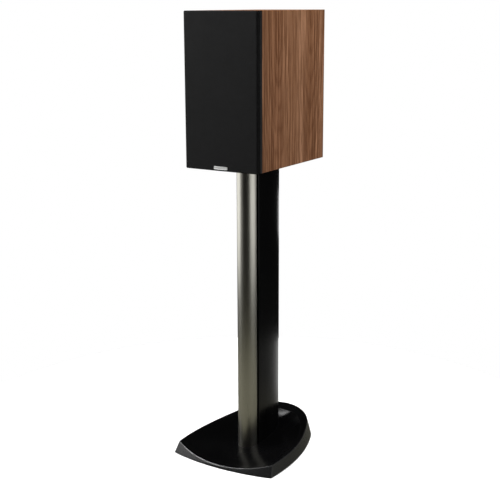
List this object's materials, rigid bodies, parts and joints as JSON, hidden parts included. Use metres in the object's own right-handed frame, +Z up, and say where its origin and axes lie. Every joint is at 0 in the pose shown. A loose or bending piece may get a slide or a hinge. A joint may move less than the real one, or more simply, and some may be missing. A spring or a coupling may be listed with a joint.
{
  "type": "bookshelf speaker on floor stand",
  "caption": "Two-way bookshelf loudspeaker with walnut sides and a full cloth grille, standing on a pedestal stand with paired oval pillars and a dished base",
  "frame": {"origin": "on the floor, under the middle of the stand's base", "axes": "+Z up, the grille faces -Y, +X is to the right seen from the front"},
  "size_m": [0.271, 0.33, 1.012],
  "materials": {
    "walnut_veneer": "satin open-grain veneer, grain running upright",
    "black_mdf": "matte black painted board",
    "raw_board": "plain fibreboard",
    "grille_fabric": "fine black knit stretched flat",
    "satin_badge": "satin silver",
    "black_abs": "fine-textured black moulding",
    "black_rubber": "matte black rubber",
    "foam_grey": "open-cell damping foam",
    "base_black": "satin black paint on a cast body, finely textured walls",
    "silver_anodised": "brushed champagne-silver anodising",
    "polished_trim": "bright satin",
    "pillar_black": "satin black paint",
    "plate_black": "matte black powder coat",
    "zinc_steel": "zinc plated",
    "black_steel": "black oxide",
    "brass_insert": "turned brass",
    "gold_contact": "gold-plated brass",
    "basket_metal": "black painted die-cast frame",
    "ferrite": "dark ceramic magnet",
    "cone_paper": "mineral-filled polypropylene",
    "dust_cap_black": "satin black",
    "coil_copper": "enamelled copper",
    "spider_cloth": "impregnated cotton",
    "dome_titanium": "satin metal dome",
    "board_green": "fibreglass board",
    "capacitor_film": "film capacitors",
    "resistor_white": "cement resistors",
    "wire_red_black": "insulated wire",
    "cap_red": "translucent red",
    "cap_black": "gloss black"
  },
  "bodies": {
    "stand": {"base_casting": "base_black", "foot_inserts": "brass_insert", "front_pillar": "silver_anodised", "front_pillar_cap": "polished_trim", "pillar_spine": "plate_black", "rear_pillar": "pillar_black", "base_bolts": "black_steel", "top_plate": "plate_black", "top_plate_screws": "black_steel", "isolation_pads": "black_rubber"},
    "cabinet": {"side_panel_left": "walnut_veneer", "side_panel_right": "walnut_veneer", "top_panel": "walnut_veneer", "bottom_panel": "walnut_veneer", "rear_panel": "black_mdf", "front_baffle": "black_mdf", "window_brace": "raw_board", "grille_sockets": "black_rubber", "damping_foam": "foam_grey", "port_tube": "black_abs", "terminal_cup": "black_abs", "terminal_cup_screws": "black_steel", "binding_bases": "black_abs", "binding_studs": "gold_contact", "crossover_board": "board_green", "crossover_standoffs": "black_abs", "crossover_inductors": "coil_copper", "crossover_capacitors": "capacitor_film", "crossover_resistors": "resistor_white", "input_leads": "wire_red_black", "woofer_leads": "wire_red_black", "tweeter_leads": "wire_red_black", "woofer_basket": "basket_metal", "woofer_magnet": "ferrite", "woofer_motor_plates": "zinc_steel", "woofer_screws": "black_steel", "woofer_surround": "black_rubber", "woofer_spider": "spider_cloth", "tweeter_faceplate": "black_abs", "tweeter_magnet": "ferrite", "tweeter_motor_plates": "zinc_steel", "tweeter_screws": "black_steel"},
    "grille": {"grille_frame": "black_mdf", "grille_cloth": "grille_fabric", "grille_badge": "satin_badge", "grille_pegs": "black_abs"},
    "woofer_diaphragm": {"woofer_cone": "cone_paper", "woofer_dust_cap": "dust_cap_black", "woofer_voice_coil": "coil_copper"},
    "tweeter_diaphragm": {"tweeter_dome": "dome_titanium"},
    "foot_pad_left": {"foot_pad_left": "black_rubber"},
    "foot_stud_left": {"foot_stud_left": "zinc_steel"},
    "foot_pad_right": {"foot_pad_right": "black_rubber"},
    "foot_stud_right": {"foot_stud_right": "zinc_steel"},
    "foot_pad_rear": {"foot_pad_rear": "black_rubber"},
    "foot_stud_rear": {"foot_stud_rear": "zinc_steel"},
    "post_washer_black": {"post_washer_black": "gold_contact"},
    "post_cap_black": {"post_cap_black": "cap_black"},
    "post_washer_red": {"post_washer_red": "gold_contact"},
    "post_cap_red": {"post_cap_red": "cap_red"}
  },
  "joints": [
    {"name": "speaker_lift", "type": "slide", "parent": "stand", "child": "cabinet", "axis": [0, 0, 1], "range_m": [0, 0.12]},
    {"name": "grille_pull", "type": "slide", "parent": "cabinet", "child": "grille", "axis": [0, -1, 0], "range_m": [0, 0.06]},
    {"name": "woofer_travel", "type": "slide", "parent": "cabinet", "child": "woofer_diaphragm", "axis": [0, -1, 0], "range_m": [-0.005, 0.005], "stiffness_N_per_m": 1400, "deforming": ["woofer_surround", "woofer_spider"]},
    {"name": "tweeter_travel", "type": "slide", "parent": "cabinet", "child": "tweeter_diaphragm", "axis": [0, -1, 0], "range_m": [-0.0003, 0.0003], "stiffness_N_per_m": 2000},
    {"name": "foot_extend_left", "type": "slide", "parent": "stand", "child": "foot_pad_left", "axis": [0, 0, -1], "range_m": [0, 0.005]},
    {"name": "foot_turn_left", "type": "hinge", "parent": "foot_pad_left", "child": "foot_stud_left", "pos_m": [-0.1, -0.125, 0.008], "axis": [0, 0, -1], "range_deg": [0, 1440]},
    {"name": "foot_extend_right", "type": "slide", "parent": "stand", "child": "foot_pad_right", "axis": [0, 0, -1], "range_m": [0, 0.005]},
    {"name": "foot_turn_right", "type": "hinge", "parent": "foot_pad_right", "child": "foot_stud_right", "pos_m": [0.1, -0.125, 0.008], "axis": [0, 0, -1], "range_deg": [0, 1440]},
    {"name": "foot_extend_rear", "type": "slide", "parent": "stand", "child": "foot_pad_rear", "axis": [0, 0, -1], "range_m": [0, 0.005]},
    {"name": "foot_turn_rear", "type": "hinge", "parent": "foot_pad_rear", "child": "foot_stud_rear", "pos_m": [0, 0.135, 0.008], "axis": [0, 0, -1], "range_deg": [0, 1440]},
    {"name": "post_loosen_black", "type": "slide", "parent": "cabinet", "child": "post_washer_black", "axis": [0, 1, 0], "range_m": [0, 0.0048]},
    {"name": "post_turn_black", "type": "hinge", "parent": "post_washer_black", "child": "post_cap_black", "pos_m": [-0.0095, 0.145, 0.762], "axis": [0, 1, 0], "range_deg": [0, 2160]},
    {"name": "post_loosen_red", "type": "slide", "parent": "cabinet", "child": "post_washer_red", "axis": [0, 1, 0], "range_m": [0, 0.0048]},
    {"name": "post_turn_red", "type": "hinge", "parent": "post_washer_red", "child": "post_cap_red", "pos_m": [0.0095, 0.145, 0.762], "axis": [0, 1, 0], "range_deg": [0, 2160]}
  ],
  "couplings": [
    {"joint": "foot_turn_left", "follows": "foot_extend_left", "rad_per_m": 5026.5},
    {"joint": "foot_turn_right", "follows": "foot_extend_right", "rad_per_m": 5026.5},
    {"joint": "foot_turn_rear", "follows": "foot_extend_rear", "rad_per_m": 5026.5},
    {"joint": "post_turn_black", "follows": "post_loosen_black", "rad_per_m": 7854},
    {"joint": "post_turn_red", "follows": "post_loosen_red", "rad_per_m": 7854}
  ]
}
